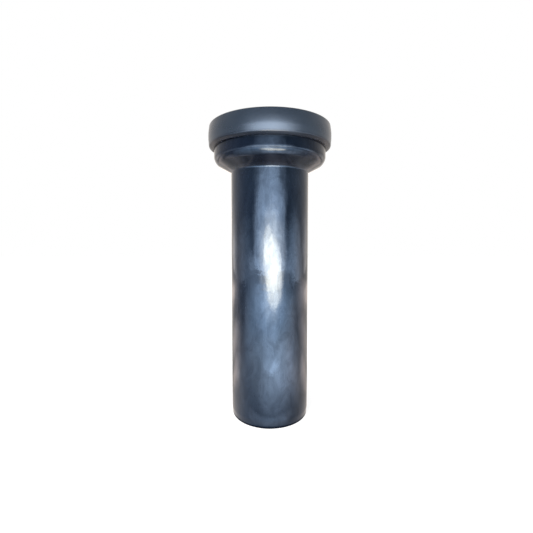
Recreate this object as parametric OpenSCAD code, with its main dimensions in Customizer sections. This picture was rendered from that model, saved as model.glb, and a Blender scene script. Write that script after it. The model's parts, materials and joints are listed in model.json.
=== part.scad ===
// Straight toilet outlet pipe: a plain pipe moulded in one with a wide socket,
// and a rubber seal stretched over the socket's rim. Millimetres, +Z up the pipe.
// The origin is on the axis at the cut end. Every piece is round about that axis.

/* [Pipe] */
// Length from the cut end to the top of the seal
total_len = 335; // [260:5:500]
// Outside diameter of the pipe
pipe_od = 90; // [80:1:100]
// Thickness of the moulded wall, pipe and socket alike
wall = 3.5; // [2.5:0.1:4.5]
// Height of the chamfer round the cut end
chamfer_len = 8; // [3:0.5:12]
// Depth of the chamfer round the cut end
chamfer_depth = 0.8; // [0.4:0.1:2]

/* [Socket] */
// Height from the foot of the shoulder to the top of the seal
socket_len = 52; // [48:0.5:80]
// Slope of the shoulder above the horizontal
shoulder_angle = 29; // [12:1:34]
// Rounding where the shoulder turns up into the wall
shoulder_round = 15; // [8:1:18]
// Fillet between the pipe and the shoulder
shoulder_fillet = 3; // [1:0.5:5]
// How far the wall leans out between the shoulder and the seal
wall_lean = 2; // [1:0.1:3]
// Height of the upright stretch of wall below the seal
upright_len = 3; // [1:0.5:4]
// How far the rim's bead stands out from the wall
bead_depth = 2; // [1:0.1:3]
// Height of the rim's bead, without its sloping underside
bead_len = 11; // [6:0.5:14]
// Rounding of the rim's two top edges
rim_round = 1.2; // [0.5:0.1:1.6]

/* [Seal] */
// Outside diameter of the pan spigot that the lips grip
spigot_od = 102; // [98:1:110]
// How far the spigot pushes each lip outwards
lip_squeeze = 3; // [1:0.5:5]
// How far each lip stands in from the leg that carries it
lip_reach = 10.4; // [8:0.2:12]
// Number of lips, one below the other
lip_count = 3; // [1:1:3]
// Height from one lip to the next
lip_pitch = 8; // [7:0.5:9]
// Slope of the lips below the horizontal
lip_rake = 32; // [15:1:40]
// Thickness of a lip at its root
lip_root = 3; // [2:0.1:4]
// Height of the land on a lip's tip
lip_land = 1.4; // [0.8:0.1:2]
// Thickness of the leg that carries the lips
leg_t = 3; // [2:0.1:4]
// Thickness of the leg's foot below the last lip
leg_foot = 4; // [2:0.5:6]
// Thickness of the collar over the socket wall, where it is thickest
collar_t = 5.9; // [4:0.1:8]
// Height of the collar, from its lowest lip to the top
collar_len = 24.5; // [22:0.5:30]
// Thickness of the collar's lowest lip
collar_lip_t = 0.8; // [0.4:0.1:1.5]
// Height of the bevel below the collar's face
bevel_len = 2.2; // [1:0.1:5]
// Rounding between the bevel and the face
bevel_round = 2; // [0.5:0.1:2.5]
// How far the face leans out from the bevel to the crown
face_lean = 1; // [0:0.1:2]
// Height of the taper at the top of the collar
taper_len = 5.4; // [4:0.1:8]
// How far the taper draws the collar in
taper_in = 0.9; // [0.5:0.1:2.5]
// Rounding between the face and the taper
crown_round = 10; // [4:1:14]
// Rounding of the collar's top edges
top_round = 1.5; // [0.8:0.1:1.8]
// Thickness of the seal over the socket's rim
cap_t = 4; // [4:0.1:6]
// How far the lead-in opens the mouth above the first lip
lead_in = 1.6; // [0.5:0.1:2]
// Clearance between the seal and the socket
seal_gap = 0.1; // [0.05:0.05:0.3]

/* [Hidden] */
$fn = 96;
arc_steps = 8;

pipe_r = pipe_od / 2;
lip_r = spigot_od / 2 - lip_squeeze;
leg_ir = lip_r + lip_reach;
leg_or = leg_ir + leg_t;
socket_r = leg_or + seal_gap + wall;
bead_r = socket_r + bead_depth;
face_r = socket_r + collar_t;
rim_z = total_len - cap_t - seal_gap;
bead_z = rim_z - bead_len;
shoulder_z = total_len - socket_len;
corner_r = socket_r - wall_lean;
corner_z = shoulder_z + (corner_r - pipe_r) * tan(shoulder_angle);
collar_z = total_len - collar_len;
first_lip_z = total_len - cap_t;
lip_drop = lip_reach * tan(lip_rake);
leg_foot_z = first_lip_z - (lip_count - 1) * lip_pitch - lip_root - leg_foot;
upright_z = min(collar_z, leg_foot_z) - upright_len;

function unit(v) = v / norm(v);
function left_of(v) = [-v[1], v[0]];
function point(c) = [c[0], c[1]];
function reversed(path) = [for (i = [len(path) - 1 : -1 : 0]) path[i]];

// One corner [r, z, rounding] of a path as an arc between its neighbours. The
// rounding gives way where an edge is too short for it.
function arc_corner(before, corner, after) =
    let (p = point(corner),
         u = unit(point(before) - p),
         v = unit(point(after) - p),
         half = acos(max(-1, min(1, u * v))) / 2,
         room = 0.49 * min(norm(point(before) - p), norm(point(after) - p)),
         reach = min(corner[2] / tan(half), room),
         radius = reach * tan(half),
         centre = p + unit(u + v) * radius / sin(half),
         start = p + u * reach - centre,
         turn = (180 - 2 * half) * sign(cross(-u, v)))
    [for (i = [0 : arc_steps])
        let (a = turn * i / arc_steps)
        centre + [start[0] * cos(a) - start[1] * sin(a), start[0] * sin(a) + start[1] * cos(a)]];

// A path of [r, z, rounding] corners as plain points.
function rounded(corners) =
    [for (i = [0 : len(corners) - 1])
        each (i == 0 || i == len(corners) - 1 || corners[i][2] == 0)
            ? [point(corners[i])]
            : arc_corner(corners[i - 1], corners[i], corners[i + 1])];

// A path of points moved sideways by a distance, to the left of its direction.
function beside(path, distance) =
    [for (i = [0 : len(path) - 1])
        let (a = left_of(unit(path[max(i, 1)] - path[max(i, 1) - 1])),
             j = min(i, len(path) - 2),
             b = left_of(unit(path[j + 1] - path[j])))
        path[i] + distance * (a + b) / (1 + a * b)];

// Outer skin of the moulding, from the cut end up behind the seal. The bore is this
// same path moved in by the wall, so each rounding is wider than the wall.
skin = rounded([
    [pipe_r, 0, 0],
    [pipe_r, shoulder_z, shoulder_fillet],
    [corner_r, corner_z, shoulder_round],
    [socket_r, upright_z, shoulder_round],
    [socket_r, max(collar_z, leg_foot_z), 0]]);

// The stretch of the moulding that the seal grips: up the wall, over the bead
// and down inside the mouth.
rim = rounded([
    [socket_r, collar_z, 0],
    [socket_r, bead_z - bead_depth, 0],
    [bead_r, bead_z, 0],
    [bead_r, rim_z, rim_round],
    [socket_r - wall, rim_z, rim_round],
    [socket_r - wall, leg_foot_z, 0]]);

// Lips of the seal, from the top one down: each has a root on the leg and a land at its tip.
function lips() =
    [for (i = [0 : lip_count - 1])
        let (z = first_lip_z - i * lip_pitch)
        each [[leg_ir, z],
              [lip_r, z - lip_drop],
              [lip_r, z - lip_drop - lip_land],
              [leg_ir, z - lip_root]]];

module lathe(profile) {
    rotate_extrude()
        polygon(profile);
}

module outlet_pipe() {
    chamfer = [[pipe_r - chamfer_depth, 0], [pipe_r, chamfer_len]];
    up_skin = [for (i = [1 : len(skin) - 2]) skin[i]];
    over_rim = [for (i = [1 : len(rim) - 1]) rim[i]];
    down_bore = [for (i = [len(skin) - 2 : -1 : 0]) beside(skin, wall)[i]];
    color("#23272f")
        lathe(concat(chamfer, up_skin, over_rim, down_bore));
}

module lip_seal() {
    collar = rounded([
        [socket_r + seal_gap + collar_lip_t, collar_z, 0],
        [face_r - face_lean, collar_z + bevel_len, bevel_round],
        [face_r, total_len - taper_len, crown_round],
        [face_r - taper_in, total_len, top_round],
        [leg_ir + lead_in, total_len, top_round],
        [leg_ir, first_lip_z, 0]]);
    foot = [[leg_ir, leg_foot_z]];
    color("#4a4f58")
        lathe(concat(collar, lips(), foot, reversed(beside(rim, -seal_gap))));
}

outlet_pipe();
lip_seal();
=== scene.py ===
"""Straight toilet outlet pipe with its rubber lip seal, dressed for a studio picture.

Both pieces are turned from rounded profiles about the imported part's axis and stand in for its
nodes. Lengths are in metres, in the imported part's own frame: the origin is on the axis at the
cut end, and +Z runs up the pipe.
"""
import json
import math

import bmesh
import bpy
from bpy.props import FloatProperty, FloatVectorProperty, IntProperty, PointerProperty
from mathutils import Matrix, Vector


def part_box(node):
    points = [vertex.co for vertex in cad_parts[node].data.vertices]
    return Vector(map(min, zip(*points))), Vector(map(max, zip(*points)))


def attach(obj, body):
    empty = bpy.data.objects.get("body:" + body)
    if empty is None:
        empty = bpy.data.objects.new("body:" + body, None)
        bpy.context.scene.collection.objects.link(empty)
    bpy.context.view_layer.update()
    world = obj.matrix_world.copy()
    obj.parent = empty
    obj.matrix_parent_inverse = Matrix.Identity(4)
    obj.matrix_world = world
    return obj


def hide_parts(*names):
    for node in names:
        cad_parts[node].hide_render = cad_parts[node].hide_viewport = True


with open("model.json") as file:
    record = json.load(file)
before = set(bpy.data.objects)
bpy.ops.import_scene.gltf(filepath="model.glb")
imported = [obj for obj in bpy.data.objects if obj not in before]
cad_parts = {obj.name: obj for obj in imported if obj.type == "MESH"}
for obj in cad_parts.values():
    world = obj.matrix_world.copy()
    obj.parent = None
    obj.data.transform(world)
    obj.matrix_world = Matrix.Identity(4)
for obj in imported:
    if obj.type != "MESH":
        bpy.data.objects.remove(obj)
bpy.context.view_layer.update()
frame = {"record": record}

bl_info = {
    "name": "Toilet Outlet Pipe",
    "version": (1, 0, 0),
    "blender": (4, 5, 0),
    "location": "View3D > Sidebar > Outlet Pipe",
    "description": "Builds an outlet pipe with its lip seal, and a small studio round it",
    "category": "Add Mesh",
}

MOUNTS = {m["name"]: m["dims"] for m in frame["record"]["mounts"]}
PIPE_RADIUS = MOUNTS["drain_end"]["r_mm"] / 1000
LIP_RADIUS = MOUNTS["pan_socket"]["r_mm"] / 1000
SOCKET_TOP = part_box("outlet_pipe")[1]
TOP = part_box("lip_seal")[1].z
SHOULDER_FOOT = TOP - 0.0515
COLLAR_HEIGHT = 0.0255
BEAD_DEPTH = 0.0025


def length(name, text, default, least=0.0, most=1.0):
    """A property that holds a length in metres."""
    return FloatProperty(name=name, description=text, default=default, min=least, max=most,
                         precision=4, unit="LENGTH")


def angle(name, text, default):
    """A property that holds an angle in radians."""
    return FloatProperty(name=name, description=text, default=default, subtype="ANGLE",
                         unit="ROTATION")


def strength(name, text, default):
    """A property that holds the strength of a light."""
    return FloatProperty(name=name, description=text, default=default, min=0.0)


def colour(name, text, default):
    """A property that holds a linear colour."""
    return FloatVectorProperty(name=name, description=text, default=default, size=3,
                               min=0.0, max=1.0, subtype="COLOR")


def turn_steps():
    """A property that holds the fineness of a turned form."""
    return IntProperty(name="Steps", description="Steps in one turn of the profile",
                       default=256, min=24, max=400)


class OutletPipeSizes(bpy.types.PropertyGroup):
    """Sizes of the moulded pipe and its socket."""

    radius: length("Pipe radius", "Outside radius of the plain pipe", PIPE_RADIUS)
    wall: length("Wall", "Thickness of the moulded wall", 0.0035)
    chamfer_height: length("Chamfer height", "Height of the chamfer round the cut end", 0.008)
    chamfer_depth: length("Chamfer depth", "Depth of the chamfer round the cut end", 0.0008)
    chamfer_rounding: length("Chamfer rounding", "Rounding above the chamfer", 0.010)
    cut_rounding: length("Cut rounding", "Rounding of the cut end's outer edge", 0.0004)
    bore_rounding: length("Bore rounding", "Rounding of the cut end's inner edge", 0.0003)
    shoulder_foot: length("Shoulder foot", "Height at which the shoulder starts", SHOULDER_FOOT)
    shoulder_slope: angle("Shoulder slope", "Slope of the shoulder above the horizontal",
                          math.radians(29))
    shoulder_rounding: length("Shoulder rounding", "Rounding from shoulder to wall", 0.0112)
    fillet: length("Fillet", "Fillet between the pipe and the shoulder", 0.002)
    socket_radius: length("Socket radius", "Outside radius of the socket under the seal",
                          SOCKET_TOP.x - BEAD_DEPTH)
    bead_depth: length("Bead depth", "How far the rim's bead stands out", BEAD_DEPTH)
    bead_height: length("Bead height", "Height of the rim's bead", 0.011)
    bead_rounding: length("Bead rounding", "Rounding of the bead's lower edge", 0.0006)
    rim: length("Rim", "Height of the socket's rim", SOCKET_TOP.z)
    rim_rounding: length("Rim rounding", "Rounding of the rim's top edges", 0.0012)
    steps: turn_steps()


class LipSealSizes(bpy.types.PropertyGroup):
    """Sizes of the rubber seal."""

    lip_radius: length("Lip radius", "Inside radius of the lips at rest", LIP_RADIUS)
    lip_reach: length("Lip reach", "How far a lip stands in from the leg", 0.0104)
    lip_count: IntProperty(name="Lips", description="Number of lips", default=3, min=1, max=3)
    lip_pitch: length("Lip pitch", "Height from one lip to the next", 0.008)
    lip_rake: angle("Lip rake", "Slope of the lips below the horizontal", math.radians(32))
    lip_root: length("Lip root", "Thickness of a lip at its root", 0.003)
    root_rounding: length("Root rounding", "Fillet between a lip and the leg", 0.0008)
    lip_land: length("Lip land", "Height of the land on a lip's tip", 0.0014)
    land_rounding: length("Land rounding", "Rounding of a land's two edges", 0.0005)
    leg: length("Leg", "Thickness of the leg that carries the lips", 0.003)
    leg_foot: length("Leg foot", "Height of the leg's foot below the last lip", 0.004)
    leg_rounding: length("Leg rounding", "Rounding of the leg's foot and of its top corner", 0.0006)
    cap: length("Cap", "Thickness of the seal over the rim", 0.004)
    lead_in: length("Lead-in", "How far the mouth opens above the first lip", 0.0016)
    collar_height: length("Collar height", "Height of the collar outside the socket",
                          COLLAR_HEIGHT)
    collar_lip: length("Collar lip", "Thickness of the collar's lowest lip", 0.0025)
    collar_rounding: length("Collar rounding", "Rounding of the collar's lowest edge", 0.0003)
    bevel_height: length("Bevel height", "Height of the bevel below the collar's face", 0.0024)
    bevel_rounding: length("Bevel rounding", "Rounding between the bevel and the face", 0.002)
    face_radius: length("Face radius", "Outside radius at which the face's two slopes meet",
                        0.0711)
    face_lean: length("Face lean", "How far the face leans out from the bevel", 0.0010)
    crown_height: length("Upper height", "Height of the face's upper slope", 0.0115)
    crown_lean: length("Upper lean", "How far the upper slope draws in", 0.0015)
    crown_rounding: length("Face rounding", "Rounding between the face's two slopes", 0.080)
    top_rounding: length("Top rounding", "Rounding of the collar's top edges", 0.0018)
    clearance: length("Clearance", "Clearance between the seal and the socket", 0.0001)
    steps: turn_steps()


class OutletPipeFinishes(bpy.types.PropertyGroup):
    """Colours of the two materials."""

    moulding: colour("Moulding", "Colour of the black polyethylene", (0.003, 0.006, 0.016))
    haze: colour("Haze", "Colour of the handling marks on the moulding", (0.010, 0.015, 0.030))
    sheen: colour("Reflection", "Tint of the moulding's reflections seen straight on",
                  (0.34, 0.60, 1.0))
    rubber: colour("Rubber", "Colour of the seal", (0.003, 0.005, 0.012))
    bloom: colour("Bloom", "Colour of the wax bloom on the rubber", (0.007, 0.010, 0.018))
    rubber_sheen: colour("Rubber reflection", "Tint of the rubber's reflections seen straight on",
                         (0.42, 0.67, 1.0))


class StudioSettings(bpy.types.PropertyGroup):
    """Camera and lights."""

    distance: length("Distance", "Distance of the camera from the pipe's axis", 0.400, 0.1, 4.0)
    height: length("Height", "Height of the camera above the floor", 0.2098, 0.0, 2.0)
    aside: length("Aside", "Place of the camera to the side of the axis", -0.0038, -1.0, 1.0)
    tilt: angle("Tilt", "Tilt of the camera below the horizontal", 0.0545)
    lens: FloatProperty(name="Lens", description="Focal length for a 36 mm wide frame",
                        default=22.71, subtype="DISTANCE_CAMERA", unit="CAMERA")
    rise: FloatProperty(name="Rise", description="Vertical shift of the frame", default=-0.0222)
    key: strength("Key", "Radiance of the plain key light", 9.0)
    fill: strength("Fill", "Strength of the light from all round", 0.5)
    shine: strength("Shine", "Strength of the lamps that show only as reflections", 1.0)
    floor: colour("Floor", "Colour of the floor", (0.80, 0.77, 0.72))
    surroundings: colour("Surroundings", "Colour of the room and floor in reflections",
                         (1.0, 0.93, 0.86))


def set_in(before, corner, after, depth):
    """The point that lies a depth inside both edges that meet at a corner."""
    a = (Vector(corner) - Vector(before)).normalized()
    b = (Vector(after) - Vector(corner)).normalized()
    a, b = Vector((-a.y, a.x)), Vector((-b.y, b.x))
    return Vector(corner) + depth * (a + b) / (1 + a.dot(b))


# The most of an edge that the rounding of one of its two corners may take.
EDGE_SHARE = 0.49


def round_corner(bm, vert, before, after, rounding, segments):
    """Bevels one corner of a profile to about a rounding, within its two edges."""
    u = (before - vert.co).normalized()
    v = (after - vert.co).normalized()
    half = math.acos(max(-1.0, min(1.0, u.dot(v)))) / 2
    reach = rounding / math.tan(half)
    room = EDGE_SHARE * min((before - vert.co).length, (after - vert.co).length)
    if reach > room:
        rounding *= room / reach
    depth = rounding * (1 / math.sin(half) - 1)
    offset = depth / (2 * (1 - math.sqrt(0.5)) * math.cos(half))
    bmesh.ops.bevel(bm, geom=[vert], offset=offset, offset_type="OFFSET", segments=segments,
                    profile=0.5, affect="VERTICES", clamp_overlap=False, material=-1)


# An edge longer than this gets a point at the support distance from each of its ends, so that
# the shading of a rounding doesn't spread over the straight beside it.
LONG_EDGE, SUPPORT = 0.006, 0.0008
SHARP = math.radians(32)
MERGE = 1e-6


def turned(name, corners, steps):
    """A closed solid turned about the axis from (radius, height, rounding, segments) corners."""
    bm = bmesh.new()
    verts = [bm.verts.new((c[0], 0, c[1])) for c in corners]
    places = [v.co.copy() for v in verts]
    count = len(verts)
    for i in range(count):
        bm.edges.new((verts[i], verts[(i + 1) % count]))
    for i, (*_, rounding, segments) in enumerate(corners):
        if rounding > 0:
            after = places[(i + 1) % count]
            round_corner(bm, verts[i], places[i - 1], after, rounding, segments)
    for edge in [e for e in bm.edges if e.calc_length() > LONG_EDGE]:
        for end in edge.verts[:]:
            bmesh.utils.edge_split(edge, end, SUPPORT / edge.calc_length())
    bmesh.ops.spin(bm, geom=bm.verts[:] + bm.edges[:], cent=(0, 0, 0), axis=(0, 0, 1),
                   dvec=(0, 0, 0), angle=2 * math.pi, steps=steps, use_merge=True,
                   use_duplicate=False)
    bmesh.ops.remove_doubles(bm, verts=bm.verts, dist=MERGE)
    bmesh.ops.recalc_face_normals(bm, faces=bm.faces)
    for face in bm.faces:
        face.smooth = True
    for edge in bm.edges:
        edge.smooth = edge.calc_face_angle(0.0) < SHARP
    mesh = bpy.data.meshes.new(name)
    bm.to_mesh(mesh)
    bm.free()
    piece = bpy.data.objects.new(name, mesh)
    bpy.context.scene.collection.objects.link(piece)
    return piece


def pipe_corners(s):
    """The outlet pipe's section: up the outside, over the rim and down the bore."""
    rise = (s.socket_radius - s.radius) * math.tan(s.shoulder_slope)
    bead_foot = s.rim - s.bead_height
    bead_radius = s.socket_radius + s.bead_depth
    skin = [
        (s.radius, 0),
        (s.radius, s.shoulder_foot),
        (s.socket_radius, s.shoulder_foot + rise),
        (s.socket_radius, s.rim),
    ]
    inner = [set_in(skin[i - 1], skin[i], skin[i + 1], s.wall) for i in (1, 2)]
    return [
        (s.radius - s.chamfer_depth, 0, s.cut_rounding, 3),
        (s.radius, s.chamfer_height, s.chamfer_rounding, 4),
        (*skin[1], s.fillet, 10),
        (*skin[2], s.shoulder_rounding, 16),
        (s.socket_radius, bead_foot - s.bead_depth, 0, 0),
        (bead_radius, bead_foot, s.bead_rounding, 3),
        (bead_radius, s.rim, s.rim_rounding, 5),
        (s.socket_radius - s.wall, s.rim, s.rim_rounding, 5),
        (*inner[1], s.shoulder_rounding - s.wall, 12),
        (*inner[0], s.fillet + s.wall, 10),
        (s.radius - s.wall, 0, s.bore_rounding, 2),
    ]


def seal_corners(s, p):
    """The seal's section: collar, mouth, lips, leg and the groove that grips the rim."""
    leg_in = s.lip_radius + s.lip_reach
    leg_out = leg_in + s.leg
    first = TOP - s.cap
    drop = s.lip_reach * math.tan(s.lip_rake)
    foot = first - (s.lip_count - 1) * s.lip_pitch - s.lip_root - s.leg_foot
    collar_foot = TOP - s.collar_height
    groove_wall = p.socket_radius + s.clearance
    groove_bead = groove_wall + p.bead_depth
    groove_top = p.rim + s.clearance
    groove_rounding = p.rim_rounding + s.clearance
    bead_foot = p.rim - p.bead_height
    collar = [
        (groove_wall + s.collar_lip, collar_foot, s.collar_rounding, 2),
        (s.face_radius - s.face_lean, collar_foot + s.bevel_height, s.bevel_rounding, 8),
        (s.face_radius, TOP - s.crown_height, s.crown_rounding, 10),
        (s.face_radius - s.crown_lean, TOP, s.top_rounding, 7),
        (leg_in + s.lead_in, TOP, s.top_rounding, 6),
        (leg_in, first, s.leg_rounding, 3),
    ]
    lips = []
    for i in range(s.lip_count):
        height = first - i * s.lip_pitch
        if i:
            lips.append((leg_in, height, s.root_rounding, 3))
        lips += [
            (s.lip_radius, height - drop, s.land_rounding, 3),
            (s.lip_radius, height - drop - s.lip_land, s.land_rounding, 3),
            (leg_in, height - s.lip_root, s.root_rounding, 3),
        ]
    leg = [(leg_in, foot, s.leg_rounding, 3), (leg_out, foot, s.leg_rounding, 3)]
    groove = [
        (leg_out, groove_top, groove_rounding, 4),
        (groove_bead, groove_top, groove_rounding, 4),
        (groove_bead, bead_foot, 0, 0),
        (groove_wall, bead_foot - p.bead_depth, 0, 0),
        (groove_wall, collar_foot, 0, 0),
    ]
    return collar + lips + leg + groove


# Places of the colour sockets on the Mix node, where several sockets share a name.
MIX_A, MIX_B, MIX_RESULT = 6, 7, 2
WHITE = (1, 1, 1, 1)
GREY = (0.5, 0.5, 0.5, 1)


class Nodes:
    """Short calls for the nodes of one material."""

    def __init__(self, name):
        self.material = bpy.data.materials.new(name)
        self.material.use_nodes = True
        self.tree = self.material.node_tree
        self.tree.nodes.clear()
        self.place = self.add("ShaderNodeTexCoord").outputs["Object"]
        apart = self.add("ShaderNodeSeparateXYZ")
        self.put(apart.inputs["Vector"], self.place)
        self.height = apart.outputs["Z"]

    def add(self, kind, **values):
        """A new node, with its settings and sockets set by name."""
        node = self.tree.nodes.new(kind)
        for key, value in values.items():
            if key in node.bl_rna.properties:
                setattr(node, key, value)
            else:
                self.put(node.inputs[key.replace("_", " ")], value)
        return node

    def put(self, socket, value):
        """Links another node's output to a socket, or sets the socket's value."""
        if isinstance(value, bpy.types.NodeSocket):
            self.tree.links.new(value, socket)
        else:
            socket.default_value = value

    def stretched(self, scale, start=(0, 0, 0)):
        """The object's coordinates, scaled and then moved."""
        node = self.add("ShaderNodeMapping", Vector=self.place)
        node.inputs["Scale"].default_value = scale
        node.inputs["Location"].default_value = start
        return node.outputs["Vector"]

    def noise(self, vector, scale, detail, roughness, distortion=0.0):
        """A fractal noise with a value about 0.5."""
        node = self.add("ShaderNodeTexNoise", Vector=vector, Scale=scale, Detail=detail,
                        Roughness=roughness, Distortion=distortion)
        return node.outputs["Fac"]

    def range(self, value, source, result=(0.0, 1.0)):
        """A value carried over from one range to another, and held at its ends."""
        node = self.add("ShaderNodeMapRange", clamp=True)
        for socket, number in zip(node.inputs, (value, *source, *result)):
            self.put(socket, number)
        return node.outputs["Result"]

    def maths(self, operation, a, b):
        """Two values joined by an operation."""
        node = self.add("ShaderNodeMath", operation=operation)
        self.put(node.inputs[0], a)
        self.put(node.inputs[1], b)
        return node.outputs["Value"]

    def distance(self, vector):
        """The length of a vector."""
        node = self.add("ShaderNodeVectorMath", operation="LENGTH")
        self.put(node.inputs[0], vector)
        return node.outputs["Value"]

    def blend(self, factor, a, b):
        """A colour between two others."""
        node = self.add("ShaderNodeMix", data_type="RGBA")
        self.put(node.inputs["Factor"], factor)
        self.put(node.inputs[MIX_A], a)
        self.put(node.inputs[MIX_B], b)
        return node.outputs[MIX_RESULT]

    def bump(self, height, strength, distance, normal=None):
        """A normal bent by a height, on top of an earlier one."""
        node = self.add("ShaderNodeBump", Height=height, Strength=strength, Distance=distance)
        if normal is not None:
            self.put(node.inputs["Normal"], normal)
        return node.outputs["Normal"]

    def surface(self, shader):
        """The finished material."""
        self.add("ShaderNodeOutputMaterial", Surface=shader)
        return self.material


def rgba(value):
    """A colour with full cover."""
    return (value[0], value[1], value[2], 1.0)


# The moulding's roughness where it is polished and where it is smeared, and what wear adds.
POLISHED, SMEARED, WORN = 0.055, 0.15, 0.22
DUSTY = 0.5
# How much the plain pipe and the shoulder mirror, and what the socket's wall adds: the weaker
# mirroring of the shoulder and socket is painted shade.
PIPE_SHINE, SHOULDER_PAINTED_SHADE_SHINE, WALL_SHINE = 0.5, 0.25, 0.04
SHOULDER_FADE = (SHOULDER_FOOT + 0.001, SHOULDER_FOOT + 0.003)
WALL_FADE = (SHOULDER_FOOT + 0.0085, SHOULDER_FOOT + 0.0125)
PATCHES_SHINE = (0.82, 1.18)


def moulding_finish(c):
    """Glossy black polyethylene: drawn lines along the pipe, soft haze and fine scuffs, and painted
    shade on the shoulder and socket.
    """
    n = Nodes("pipe_moulding")
    drawn = n.noise(n.stretched((1, 1, 0.03)), scale=240, detail=3.0, roughness=0.6)
    broad = n.noise(n.stretched((1, 1, 0.7)), scale=150, detail=3.0, roughness=0.55)
    wavy = n.noise(n.stretched((1, 1, 0.6)), scale=30, detail=2.0, roughness=0.5)
    smeared = n.noise(n.stretched((1, 1, 0.35), (0.5, 0.3, 0.6)), scale=70, detail=4.0,
                      roughness=0.65, distortion=0.6)
    cloudy = n.noise(n.stretched((1, 1, 0.6), (0.3, 0.1, 0.2)), scale=34, detail=4.0,
                     roughness=0.6, distortion=0.4)
    patchy = n.noise(n.stretched((1, 1, 0.45), (0.1, 0.6, 0.8)), scale=95, detail=5.0,
                     roughness=0.7, distortion=0.9)
    scuffs = n.noise(n.stretched((1, 1, 0.25), (0.7, 0.2, 0.4)), scale=210, detail=5.0,
                     roughness=0.75, distortion=1.2)
    scuffed = n.range(scuffs, source=(0.54, 0.72))
    handled = n.range(cloudy, source=(0.42, 0.62))
    worn = n.maths("MULTIPLY", scuffed, handled)
    dusty = n.range(cloudy, source=(0.45, 0.75), result=(0.0, DUSTY))
    shell = n.add("ShaderNodeBsdfPrincipled", IOR=1.46)
    n.put(shell.inputs["Specular Tint"], rgba(c.sheen))
    marks = n.maths("MAXIMUM", worn, dusty)
    n.put(shell.inputs["Base Color"], n.blend(marks, rgba(c.moulding), rgba(c.haze)))
    gloss = n.range(smeared, source=(0.45, 0.65), result=(POLISHED, SMEARED))
    wear = n.maths("MULTIPLY", worn, WORN)
    n.put(shell.inputs["Roughness"], n.maths("ADD", gloss, wear))
    # Painted shade: from the shoulder up the moulding mirrors less, which darkens the shoulder and
    # the socket's wall.
    below = n.range(n.height, SHOULDER_FADE, (PIPE_SHINE, SHOULDER_PAINTED_SHADE_SHINE))
    above = n.range(n.height, WALL_FADE, (0.0, WALL_SHINE))
    patches = n.range(patchy, source=(0.38, 0.62), result=PATCHES_SHINE)
    level = n.maths("MULTIPLY", n.maths("ADD", below, above), patches)
    n.put(shell.inputs["Specular IOR Level"], level)
    normal = n.bump(wavy, strength=0.7, distance=0.0008)
    normal = n.bump(broad, strength=0.6, distance=0.00016, normal=normal)
    normal = n.bump(drawn, strength=0.8, distance=0.00009, normal=normal)
    n.put(shell.inputs["Normal"], normal)
    return n.surface(shell.outputs["BSDF"])


# How much the rubber mirrors on its underside and on its face: the underside's weaker mirroring is
# painted shade under the collar.
UNDERSIDE_PAINTED_SHADE_SHINE, FACE_SHINE = 0.12, 0.5
FACE_FADE = (TOP - COLLAR_HEIGHT + 0.0020, TOP - COLLAR_HEIGHT + 0.0045)
RUBBER_GLOSS = (0.25, 0.31)
BLOOMED = 0.8


def rubber_finish(c):
    """Satin black rubber with a faint grey bloom, a fine moulded grain and painted shade on its
    underside.
    """
    n = Nodes("seal_rubber")
    patches = n.noise(n.stretched((1, 1, 1.6), (0.2, 0.5, 0.1)), scale=24, detail=4.0,
                      roughness=0.55, distortion=0.3)
    grain = n.noise(n.place, scale=1100, detail=3.0, roughness=0.7)
    swell = n.noise(n.place, scale=18, detail=2.0, roughness=0.5)
    shell = n.add("ShaderNodeBsdfPrincipled", IOR=1.70)
    # Painted shade: the collar's underside mirrors less than its face.
    level = n.range(n.height, FACE_FADE, (UNDERSIDE_PAINTED_SHADE_SHINE, FACE_SHINE))
    n.put(shell.inputs["Specular IOR Level"], level)
    n.put(shell.inputs["Specular Tint"], rgba(c.rubber_sheen))
    bloomed = n.range(patches, source=(0.38, 0.70), result=(0.0, BLOOMED))
    n.put(shell.inputs["Base Color"], n.blend(bloomed, rgba(c.rubber), rgba(c.bloom)))
    gloss = n.range(patches, source=(0.3, 0.7), result=RUBBER_GLOSS)
    n.put(shell.inputs["Roughness"], gloss)
    normal = n.bump(swell, strength=0.30, distance=0.0006)
    normal = n.bump(grain, strength=0.35, distance=0.00004, normal=normal)
    n.put(shell.inputs["Normal"], normal)
    return n.surface(shell.outputs["BSDF"])


class OUTLET_OT_pipe_body(bpy.types.Operator):
    """Turn the moulded pipe with its shoulder, socket and rim"""

    bl_idname = "outlet.pipe_body"
    bl_label = "Pipe Body"

    def execute(self, context):
        s = context.scene.outlet_pipe_sizes
        piece = turned("pipe_body", pipe_corners(s), s.steps)
        piece.data.materials.append(moulding_finish(context.scene.outlet_pipe_finishes))
        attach(piece, "root")
        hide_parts("outlet_pipe")
        return {"FINISHED"}


class OUTLET_OT_seal_ring(bpy.types.Operator):
    """Turn the rubber seal with its collar, groove and raked lips"""

    bl_idname = "outlet.seal_ring"
    bl_label = "Seal Ring"

    def execute(self, context):
        scene = context.scene
        s = scene.outlet_seal_sizes
        piece = turned("seal_ring", seal_corners(s, scene.outlet_pipe_sizes), s.steps)
        piece.data.materials.append(rubber_finish(scene.outlet_pipe_finishes))
        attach(piece, "root")
        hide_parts("lip_seal")
        return {"FINISHED"}


# A soft lamp's edge is made ragged by a noise of this scale and detail, and of this weight.
RAGGED_SCALE, RAGGED_DETAIL, RAGGED_WEIGHT = 1.8, 4.0, 0.5


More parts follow.
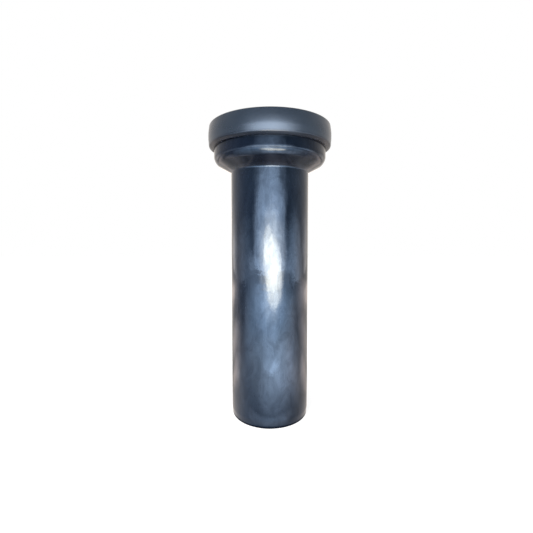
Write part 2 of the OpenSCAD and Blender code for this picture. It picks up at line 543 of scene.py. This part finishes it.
def soften(data, softness):
    """Makes a lamp an ellipse with a ragged edge that fades over a share of its radius."""
    data.use_nodes = True
    nodes, links = data.node_tree.nodes, data.node_tree.links
    centred = nodes.new("ShaderNodeMapping")
    centred.inputs["Location"].default_value = (-1, -1, 0)
    centred.inputs["Scale"].default_value = (2, 2, 0)
    links.new(nodes.new("ShaderNodeNewGeometry").outputs["Parametric"], centred.inputs["Vector"])
    inwards = nodes.new("ShaderNodeTexGradient")
    inwards.gradient_type = "SPHERICAL"
    links.new(centred.outputs["Vector"], inwards.inputs["Vector"])
    ragged = nodes.new("ShaderNodeTexNoise")
    ragged.inputs["Scale"].default_value = RAGGED_SCALE
    ragged.inputs["Detail"].default_value = RAGGED_DETAIL
    links.new(centred.outputs["Vector"], ragged.inputs["Vector"])
    edge = nodes.new("ShaderNodeMath")
    edge.operation = "MULTIPLY_ADD"
    links.new(ragged.outputs["Fac"], edge.inputs[0])
    edge.inputs[1].default_value = RAGGED_WEIGHT
    links.new(inwards.outputs["Fac"], edge.inputs[2])
    fade = nodes.new("ShaderNodeMapRange")
    fade.interpolation_type = "SMOOTHSTEP"
    fade.inputs["From Min"].default_value = RAGGED_WEIGHT / 2
    fade.inputs["From Max"].default_value = RAGGED_WEIGHT / 2 + softness
    links.new(edge.outputs["Value"], fade.inputs["Value"])
    links.new(fade.outputs["Result"], nodes["Emission"].inputs["Strength"])


def lamp(name, place, aim, size, radiance, tone=(1, 1, 1), softness=0.0):
    """A flat lamp turned from its place towards a point, and hidden from the camera."""
    data = bpy.data.lights.new(name, "AREA")
    data.shape = "RECTANGLE"
    data.size, data.size_y = size
    data.energy = radiance * math.pi * size[0] * size[1]
    data.color = tone
    if softness:
        soften(data, softness)
    made = bpy.data.objects.new(name, data)
    made.location = place
    made.rotation_euler = (Vector(place) - Vector(aim)).to_track_quat("Z", "Y").to_euler()
    made.visible_camera = False
    bpy.context.scene.collection.objects.link(made)
    return made


# Lamps that show only as reflections. Those that overlap stand a little apart, so that each
# adds its light. Part of the radiances come from a fit to the picture, rounded to two figures,
# and the others were set one by one.
COOL, WARM = (1.0, 0.90, 0.84), (1.0, 0.80, 0.70)
BRIGHT, CORE = (1.0, 0.60, 0.36), (1.0, 0.56, 0.29)
UPRIGHT_LAMPS = {
    # name: (y, (x from, to), (z from, to), radiance, tone, softness)
    "window_high": (-1.33, (-1.70, 1.90), (0.22, 0.80), 3.1, WARM, 0.6),
    "window_top": (-1.40, (-0.90, 0.90), (0.35, 0.95), 1.6, WARM, 1.0),
    "window_wide": (-1.36, (-1.90, 1.90), (-0.45, 0.72), 13.0, WARM, 0.70),
    "halo_wide": (-0.96, (-0.90, 1.15), (-0.14, 0.36), 21.0, BRIGHT, 1.0),
    "cloud": (-0.90, (-0.27, 0.34), (0.205, 0.33), 4.0, BRIGHT, 0.2),
    "core_halo": (-0.215, (-0.12, 0.17), (0.04, 0.27), 16.0, BRIGHT, 1.0),
    "core_upper": (-0.21, (-0.072, 0.036), (0.158, 0.232), 18.0, CORE, 0.25),
    "core": (-0.205, (-0.072, 0.120), (0.112, 0.218), 22.0, CORE, 0.2),
    "core_low": (-0.20, (-0.040, 0.132), (0.092, 0.180), 27.0, CORE, 0.3),
    "near_wide": (-0.195, (-0.20, 0.24), (-0.16, 0.17), 1.6, COOL, 1.0),
    "near_streak": (-0.19, (-0.10, 0.13), (-0.12, 0.14), 4.4, WARM, 1.0),
    "back_window": (1.30, (-0.40, 0.40), (-0.02, 0.70), 2.4, WARM, 0.5),
}
FLOOR_LAMPS = {
    # name: ((x from, to), (y from, to), radiance, tone, softness)
    "glow_horizon": ((-3.2, 3.2), (-2.90, -0.35), 5.4, WARM, 0.5),
    "glow_wide": ((-1.30, 1.30), (-1.25, 0.10), 6.0, COOL, 0.8),
    "glow_far": ((-0.75, 0.80), (-1.15, -0.30), 5.6, WARM, 0.8),
    "glow_near": ((-0.36, 0.42), (-0.48, -0.03), 2.8, BRIGHT, 0.8),
    "foot_streak": ((-0.10, 0.16), (-0.30, -0.04), 6.6, WARM, 0.8),
    "foot_right": ((0.02, 0.30), (-0.34, -0.04), 4.2, WARM, 0.8),
    "foot_glint": ((-0.060, 0.060), (-0.068, -0.038), 2.4, WARM, 0.8),
    "glow_left": ((-0.80, -0.10), (-0.55, -0.02), 0.3, WARM, 0.8),
    "glow_right": ((0.10, 0.80), (-0.55, -0.02), 1.3, BRIGHT, 0.8),
    "right_low": ((0.07, 0.42), (-0.26, 0.02), 1.8, WARM, 0.8),
    "right_hem": ((0.04, 0.24), (-0.17, 0.01), 2.2, WARM, 0.8),
    "far_right": ((0.30, 1.40), (-0.55, 0.90), 2.2, WARM, 0.9),
    "far_left": ((-1.40, -0.35), (0.00, 0.95), 1.1, WARM, 0.9),
    "left_low": ((-0.42, -0.07), (-0.26, 0.02), 0.5, WARM, 0.8),
    "skirt_left": ((-0.58, -0.10), (-0.10, 0.32), 1.7, WARM, 0.9),
    "skirt_right": ((0.10, 0.58), (-0.10, 0.32), 1.1, WARM, 0.9),
    "hem_left": ((-0.26, -0.06), (-0.04, 0.11), 2.0, WARM, 0.9),
    "hem_right": ((0.06, 0.26), (-0.04, 0.11), 1.5, WARM, 0.9),
    "behind_left": ((-0.90, -0.20), (0.26, 1.10), 1.0, WARM, 0.8),
    "behind_right": ((0.20, 0.90), (0.26, 1.10), 0.9, WARM, 0.8),
}
SIDE_LAMPS = {
    # name: (x, (y from, to), (z from, to), radiance, tone, softness)
    "side_left": (-1.20, (-1.30, 0.50), (-0.25, 0.38), 2.5, COOL, 1.0),
    "side_right": (1.20, (-1.30, 0.50), (-0.25, 0.38), 6.2, COOL, 1.0),
    "back_left": (-1.25, (0.10, 1.90), (-0.35, 0.45), 1.4, COOL, 1.0),
    "back_right": (1.25, (0.10, 1.90), (-0.35, 0.45), 1.0, COOL, 1.0),
}
GLOW_HEIGHT, GLOW_STEP = 0.002, 0.0002


def middle(span):
    """The middle of a (from, to) span."""
    return (span[0] + span[1]) / 2


def extent(span):
    """The length of a (from, to) span."""
    return span[1] - span[0]


def shine_lamps(share):
    """Places the upright lamps, the floor's and the side ones, at a share of full strength."""
    lamps = []
    for name, (y, x, z, radiance, *look) in UPRIGHT_LAMPS.items():
        place = (middle(x), y, middle(z))
        aim = (place[0], 0, place[2])
        size = (extent(x), extent(z))
        lamps.append(lamp(name, place, aim, size, radiance * share, *look))
    for layer, (name, (x, y, radiance, *look)) in enumerate(FLOOR_LAMPS.items()):
        place = (middle(x), middle(y), GLOW_HEIGHT + GLOW_STEP * layer)
        aim = (*place[:2], 1)
        size = (extent(x), extent(y))
        lamps.append(lamp(name, place, aim, size, radiance * share, *look))
    for name, (x, y, z, radiance, *look) in SIDE_LAMPS.items():
        place = (x, middle(y), middle(z))
        aim = (0, *place[1:])
        size = (extent(y), extent(z))
        lamps.append(lamp(name, place, aim, size, radiance * share, *look))
    for each in lamps:
        each.visible_diffuse = False


# The floor's glow for the camera, and how much lighter its palest speckles are.
CAMERA_GLOW, PALEST = 0.80, 1.03
# What the floor gives to reflections near the axis and away from it, and where it fades: the dimmer
# part near the axis is a painted contact shadow.
MIRRORED, MIRRORED_FADE = (0.45, 0.85), (0.05, 0.20)
# A soft oval behind the pipe gives less, as a painted shadow: its scale and start bring the oval's
# edge to a distance of about 1.
SHADE_SCALE, SHADE_START = (5.0, 1.8, 0.0), (0.0, -0.85, 0.0)
SHADE, SHADE_FADE = (0.44, 0.0), (0.45, 1.1)


def floor_finish(s):
    """Pale matt floor that stays near white for the camera and keeps the soft shadow; what it gives
    to reflections has a painted shadow near and behind the pipe.
    """
    n = Nodes("studio_floor")
    speckle = n.noise(n.place, scale=60, detail=3.0, roughness=0.6)
    pale = rgba([min(1.0, PALEST * v) for v in s.floor])
    tone = n.blend(n.range(speckle, source=(0.3, 0.7)), rgba(s.floor), pale)
    matt = n.add("ShaderNodeBsdfDiffuse", Color=tone)
    # Painted shadow: the floor gives less to reflections near the pipe's foot and in an oval behind
    # it.
    mirrored_with_painted_shadow = n.range(n.distance(n.place), MIRRORED_FADE, MIRRORED)
    from_oval = n.distance(n.stretched(SHADE_SCALE, SHADE_START))
    shade = n.range(from_oval, SHADE_FADE, SHADE)
    mirrored = n.add("ShaderNodeEmission", Strength=n.maths("SUBTRACT", mirrored_with_painted_shadow, shade),
                     Color=rgba(s.surroundings))
    glow = n.add("ShaderNodeEmission", Strength=CAMERA_GLOW, Color=WHITE)
    grey = n.add("ShaderNodeBsdfDiffuse", Color=GREY)
    seen = n.add("ShaderNodeAddShader")
    n.put(seen.inputs[0], grey.outputs[0])
    n.put(seen.inputs[1], glow.outputs[0])
    path = n.add("ShaderNodeLightPath")
    shown = matt.outputs[0]
    for ray, shader in (("Is Glossy Ray", mirrored), ("Is Camera Ray", seen)):
        pick = n.add("ShaderNodeMixShader")
        n.put(pick.inputs[0], path.outputs[ray])
        n.put(pick.inputs[1], shown)
        n.put(pick.inputs[2], shader.outputs[0])
        shown = pick.outputs[0]
    return n.surface(shown)


def light_all_round(scene, s):
    """A soft even light, white for the camera and near white in reflections."""
    world = bpy.data.worlds.new("studio")
    world.use_nodes = True
    scene.world = world
    nodes, links = world.node_tree.nodes, world.node_tree.links
    nodes.clear()
    path = nodes.new("ShaderNodeLightPath")

    def background(tone, level):
        node = nodes.new("ShaderNodeBackground")
        node.inputs["Color"].default_value = tone
        node.inputs["Strength"].default_value = level
        return node.outputs[0]

    shown = background(WHITE, s.fill)
    for ray, tone in (
        ("Is Glossy Ray", rgba(s.surroundings)),
        ("Is Camera Ray", WHITE),
        ("Is Transmission Ray", WHITE),
    ):
        pick = nodes.new("ShaderNodeMixShader")
        links.new(path.outputs[ray], pick.inputs[0])
        links.new(shown, pick.inputs[1])
        links.new(background(tone, 1.0), pick.inputs[2])
        shown = pick.outputs[0]
    out = nodes.new("ShaderNodeOutputWorld")
    links.new(shown, out.inputs["Surface"])


FLOOR_REACH, FLOOR_CELLS = 3.0, 8
KEY_PLACE, KEY_AIM, KEY_SIZE = (-0.9, -1.2, 1.3), (0, 0, 0.17), (1.0, 1.0)
FRAME_WIDTH_MM = 36
NEAREST = 0.01


def lay_floor(scene, s):
    """Lays the floor under the part."""
    bm = bmesh.new()
    bmesh.ops.create_grid(bm, x_segments=FLOOR_CELLS, y_segments=FLOOR_CELLS, size=FLOOR_REACH)
    mesh = bpy.data.meshes.new("studio_floor")
    bm.to_mesh(mesh)
    bm.free()
    ground = bpy.data.objects.new("studio_floor", mesh)
    ground.data.materials.append(floor_finish(s))
    scene.collection.objects.link(ground)


def place_camera(scene, s):
    """Sets the camera in front of the part, a little above its middle."""
    camera = bpy.data.objects.new("camera", bpy.data.cameras.new("camera"))
    camera.data.sensor_width = FRAME_WIDTH_MM
    camera.data.lens = s.lens
    camera.data.shift_y = s.rise
    camera.data.clip_start = NEAREST
    camera.location = (s.aside, -s.distance, s.height)
    camera.rotation_euler = (math.pi / 2 - s.tilt, 0, 0)
    scene.collection.objects.link(camera)
    scene.camera = camera


class OUTLET_OT_studio(bpy.types.Operator):
    """Set the floor, the soft lamps and the camera round the part"""

    bl_idname = "outlet.studio"
    bl_label = "Studio"

    def execute(self, context):
        scene = context.scene
        s = scene.outlet_studio
        lay_floor(scene, s)
        light_all_round(scene, s)
        key = lamp("key_light", KEY_PLACE, KEY_AIM, KEY_SIZE, s.key)
        key.visible_glossy = False
        shine_lamps(s.shine)
        place_camera(scene, s)
        scene.view_settings.view_transform = "Standard"
        return {"FINISHED"}


class OUTLET_PT_panel(bpy.types.Panel):
    """Sizes, finishes and operators of the outlet pipe"""

    bl_idname = "OUTLET_PT_panel"
    bl_label = "Outlet Pipe"
    bl_space_type = "VIEW_3D"
    bl_region_type = "UI"
    bl_category = "Outlet Pipe"

    def draw(self, context):
        for title, name, button in (
            ("Pipe", "outlet_pipe_sizes", "outlet.pipe_body"),
            ("Seal", "outlet_seal_sizes", "outlet.seal_ring"),
            ("Finishes", "outlet_pipe_finishes", None),
            ("Studio", "outlet_studio", "outlet.studio"),
        ):
            box = self.layout.box()
            box.label(text=title)
            group = getattr(context.scene, name)
            for key in group.__annotations__:
                box.prop(group, key)
            if button:
                box.operator(button)


GROUPS = {
    "outlet_pipe_sizes": OutletPipeSizes,
    "outlet_seal_sizes": LipSealSizes,
    "outlet_pipe_finishes": OutletPipeFinishes,
    "outlet_studio": StudioSettings,
}
CLASSES = (
    *GROUPS.values(),
    OUTLET_OT_pipe_body,
    OUTLET_OT_seal_ring,
    OUTLET_OT_studio,
    OUTLET_PT_panel,
)


def register():
    for cls in CLASSES:
        bpy.utils.register_class(cls)
    for name, group in GROUPS.items():
        setattr(bpy.types.Scene, name, PointerProperty(type=group))


def unregister():
    for name in GROUPS:
        delattr(bpy.types.Scene, name)
    for cls in reversed(CLASSES):
        bpy.utils.unregister_class(cls)


def main():
    register()
    bpy.ops.outlet.pipe_body()
    bpy.ops.outlet.seal_ring()
    bpy.ops.outlet.studio()


if __name__ == "__main__":
    main()
